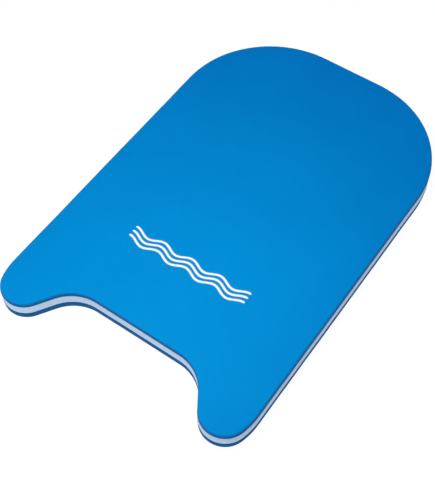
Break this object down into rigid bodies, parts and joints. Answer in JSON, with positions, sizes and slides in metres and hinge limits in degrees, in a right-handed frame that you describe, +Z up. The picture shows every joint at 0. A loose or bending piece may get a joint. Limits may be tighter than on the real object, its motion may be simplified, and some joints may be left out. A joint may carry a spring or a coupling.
{
  "type": "kickboard float",
  "caption": "Foam swimming kickboard: a flat laminated board with a round-cornered nose, a notched tail between two lobes, and a printed wave mark on the deck.",
  "frame": {"origin": "centre of the underside, halfway between the nose and the tail", "axes": "+Y to the nose, +X to the right seen from above with the nose ahead, +Z up through the deck"},
  "size_m": [0.3, 0.46, 0.0272],
  "materials": {
    "blue_foam": "matte closed-cell foam",
    "white_foam": "matte closed-cell foam",
    "adhesive": "satin",
    "white_ink": "satin"
  },
  "bodies": {
    "root": {"bottom_sheet": "blue_foam", "lower_bond_film": "adhesive", "core_sheet": "white_foam", "upper_bond_film": "adhesive", "top_sheet": "blue_foam", "wave_print_1": "white_ink", "wave_print_2": "white_ink", "wave_print_3": "white_ink"}
  },
  "joints": []
}
